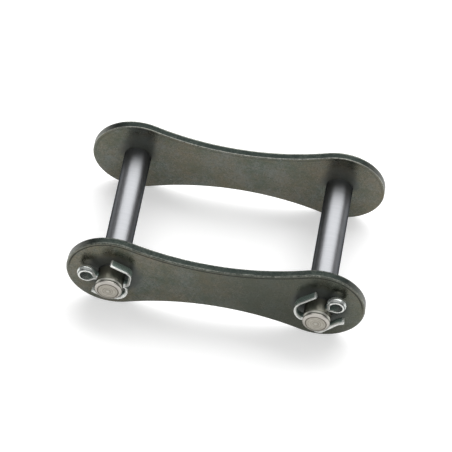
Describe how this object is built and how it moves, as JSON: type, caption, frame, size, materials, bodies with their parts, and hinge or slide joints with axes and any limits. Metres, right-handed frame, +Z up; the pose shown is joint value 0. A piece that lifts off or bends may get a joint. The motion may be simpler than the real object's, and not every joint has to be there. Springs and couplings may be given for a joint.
{
  "type": "chain connecting link",
  "caption": "Roller chain connecting link with waisted side plates, riveted bearing pins and a slip-on cover plate held by split cotters.",
  "frame": {"origin": "centre of the footprint, on the surface that the round ends of both plates stand on", "axes": "+X along the pitch from the left pin to the right pin, -Y along the pins towards the cotters and the slip-on cover plate, +Z up across the plates"},
  "size_m": [0.0598, 0.038, 0.0184],
  "materials": {
    "plates": "dark olive heat-treated and oiled steel, satin, rolled edges burnished",
    "pins": "ground bright steel along the bearing length, turned end faces",
    "cotters": "drawn steel wire, thin bright zinc coat"
  },
  "bodies": {
    "root": {"rear_plate": "plates", "front_plate": "plates", "left_pin": "pins", "right_pin": "pins", "left_cotter": "cotters", "right_cotter": "cotters"}
  },
  "joints": []
}
